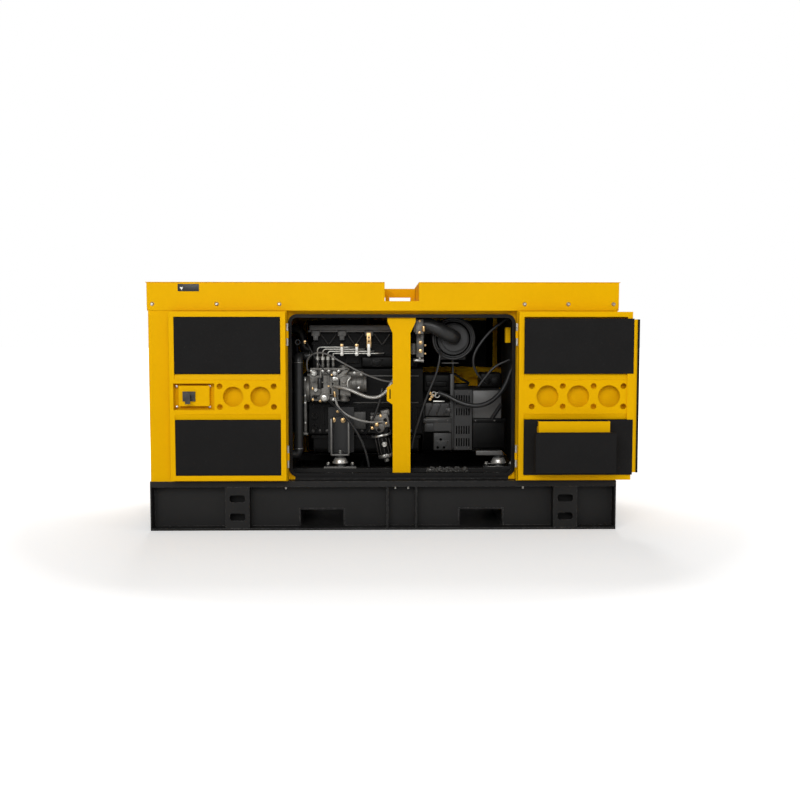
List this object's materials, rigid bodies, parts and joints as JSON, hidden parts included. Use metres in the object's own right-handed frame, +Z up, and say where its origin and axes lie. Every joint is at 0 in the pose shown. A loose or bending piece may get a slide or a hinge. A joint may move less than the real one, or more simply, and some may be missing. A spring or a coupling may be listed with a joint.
{
  "type": "diesel generator set",
  "caption": "Skid-mounted diesel generating set in a sound-proof sheet canopy, both front doors folded open over engine and alternator.",
  "frame": {"origin": "middle of the base frame's underside", "axes": "+X to the alternator and control end, -Y out of the side whose doors stand open, +Z up"},
  "size_m": [2.216, 1.121, 1.13],
  "materials": {
    "base_paint": "satin powder coat",
    "tank_plastic": "matt",
    "cap_plastic": "matt",
    "canopy_paint": "satin powder coat",
    "zinc_hardware": "zinc plated",
    "seal_rubber": "matt",
    "canopy_foam": "open-cell sound foam",
    "door_foam": "open-cell sound foam",
    "dark_steel": "dark",
    "engine_casting": "painted casting",
    "engine_light_casting": "raw casting",
    "steel_pipe": "drawn tube",
    "exhaust_steel": "heat stained",
    "core_paint": "satin",
    "fan_plastic": "matt",
    "black_plastic": "matt",
    "battery_case": "gloss",
    "generator_paint": "satin",
    "cover_paint": "satin",
    "control_paint": "satin",
    "button_red": "gloss",
    "smoked_window": "gloss",
    "hose_rubber": "matt",
    "cable_sleeve": "matt"
  },
  "bodies": {
    "set": {"base_frame": "base_paint", "fork_pockets": "base_paint", "fuel_tank": "tank_plastic", "front_panel": "canopy_paint", "rear_panel": "canopy_paint", "left_end_panel": "canopy_paint", "right_end_panel": "canopy_paint", "roof_panel": "canopy_paint", "canopy_bolts": "zinc_hardware", "lifting_frame": "canopy_paint", "striker_brackets": "canopy_paint", "door_seals": "seal_rubber", "canopy_foam": "canopy_foam", "frame_hinges": "zinc_hardware", "engine_block": "engine_casting", "oil_sump": "engine_casting", "cylinder_head": "engine_casting", "rocker_cover": "engine_casting", "injection_pump": "engine_light_casting", "injector_pipes": "steel_pipe", "fuel_filter": "engine_casting", "starter_motor": "engine_casting", "exhaust_system": "exhaust_steel", "engine_mounts": "core_paint", "fan_belt": "seal_rubber", "charging_alternator": "engine_light_casting", "radiator": "core_paint", "air_cleaner": "black_plastic", "battery": "battery_case", "generator_housing": "generator_paint", "vent_cover": "cover_paint", "control_box": "control_paint", "engine_hoses": "hose_rubber", "lashing_plates": "base_paint", "wiring_harness": "cable_sleeve"},
    "front_left_door": {"front_left_door": "canopy_paint", "front_left_foam": "door_foam", "front_left_latch_case": "dark_steel"},
    "front_left_handle": {"front_left_handle": "zinc_hardware"},
    "front_right_door": {"front_right_door": "canopy_paint", "front_right_foam": "door_foam", "front_right_baffle": "canopy_paint", "front_right_edge_seal": "seal_rubber"},
    "rear_left_door": {"rear_left_door": "canopy_paint", "rear_left_foam": "door_foam"},
    "rear_left_handle": {"rear_left_handle": "zinc_hardware"},
    "rear_right_door": {"rear_right_door": "canopy_paint", "rear_right_foam": "door_foam"},
    "rear_right_handle": {"rear_right_handle": "zinc_hardware"},
    "crank": {"crank_pulley": "engine_casting", "crankshaft": "dark_steel", "generator_rotor": "dark_steel"},
    "fan": {"cooling_fan": "fan_plastic"},
    "charging_pulley": {"charging_pulley": "zinc_hardware"},
    "governor_lever": {"governor_lever": "zinc_hardware"},
    "fuel_cap": {"fuel_cap": "cap_plastic"},
    "panel_door": {"panel_door": "smoked_window"},
    "stop_button": {"stop_button": "button_red"},
    "key_switch": {"key_switch": "zinc_hardware"},
    "breaker_lever": {"breaker_lever": "black_plastic"}
  },
  "joints": [
    {"name": "front_left_door_swing", "type": "hinge", "parent": "set", "child": "front_left_door", "pos_m": [-0.437, -0.479, 0.617], "axis": [0, 0, 1], "range_deg": [0, 180]},
    {"name": "front_right_door_swing", "type": "hinge", "parent": "set", "child": "front_right_door", "pos_m": [0.603, -0.479, 0.617], "axis": [0, 0, -1], "range_deg": [0, 180]},
    {"name": "rear_left_door_swing", "type": "hinge", "parent": "set", "child": "rear_left_door", "pos_m": [-0.437, 0.479, 0.617], "axis": [0, 0, 1], "range_deg": [0, 180]},
    {"name": "rear_right_door_swing", "type": "hinge", "parent": "set", "child": "rear_right_door", "pos_m": [0.603, 0.479, 0.617], "axis": [0, 0, -1], "range_deg": [0, 180]},
    {"name": "front_left_handle_turn", "type": "hinge", "parent": "front_left_door", "child": "front_left_handle", "pos_m": [-0.872, -0.5, 0.62], "axis": [0, 1, 0], "range_deg": [0, 90]},
    {"name": "rear_left_handle_turn", "type": "hinge", "parent": "rear_left_door", "child": "rear_left_handle", "pos_m": [-0.002, 0.45, 0.62], "axis": [0, -1, 0], "range_deg": [0, 90]},
    {"name": "rear_right_handle_turn", "type": "hinge", "parent": "rear_right_door", "child": "rear_right_handle", "pos_m": [0.168, 0.45, 0.62], "axis": [0, 1, 0], "range_deg": [0, 90]},
    {"name": "crank_spin", "type": "hinge", "parent": "set", "child": "crank", "pos_m": [0, 0, 0.475], "axis": [1, 0, 0], "continuous": true},
    {"name": "fan_spin", "type": "hinge", "parent": "set", "child": "fan", "pos_m": [-0.4, 0, 0.64], "axis": [1, 0, 0], "continuous": true},
    {"name": "charging_pulley_spin", "type": "hinge", "parent": "set", "child": "charging_pulley", "pos_m": [-0.39, 0.19, 0.66], "axis": [1, 0, 0], "continuous": true},
    {"name": "governor_lever_turn", "type": "hinge", "parent": "set", "child": "governor_lever", "pos_m": [-0.225, -0.26, 0.684], "axis": [0, 1, 0], "range_deg": [0, 30], "stiffness_Nm_per_rad": 0.3, "springref_deg": -11.46},
    {"name": "fuel_cap_turn", "type": "hinge", "parent": "set", "child": "fuel_cap", "pos_m": [-0.118, 0.341, 0.286], "axis": [0, 0, 1], "range_deg": [0, 90]},
    {"name": "panel_door_swing", "type": "hinge", "parent": "set", "child": "panel_door", "pos_m": [1.069, 0.32, 0.79], "axis": [0, 0, 1], "range_deg": [0, 110]},
    {"name": "stop_button_push", "type": "slide", "parent": "set", "child": "stop_button", "axis": [-1, 0, 0], "range_m": [0, 0.006], "stiffness_N_per_m": 400, "springref_m": -0.004},
    {"name": "key_switch_turn", "type": "hinge", "parent": "set", "child": "key_switch", "pos_m": [1.011, 0.06, 0.72], "axis": [1, 0, 0], "range_deg": [0, 90]},
    {"name": "breaker_lever_throw", "type": "hinge", "parent": "set", "child": "breaker_lever", "pos_m": [1.0185, 0.23, 0.85], "axis": [0, 1, 0], "range_deg": [0, 50]}
  ],
  "couplings": [
    {"joint": "fan_spin", "follows": "crank_spin", "ratio": 1.3636},
    {"joint": "charging_pulley_spin", "follows": "crank_spin", "ratio": 2.1429}
  ]
}
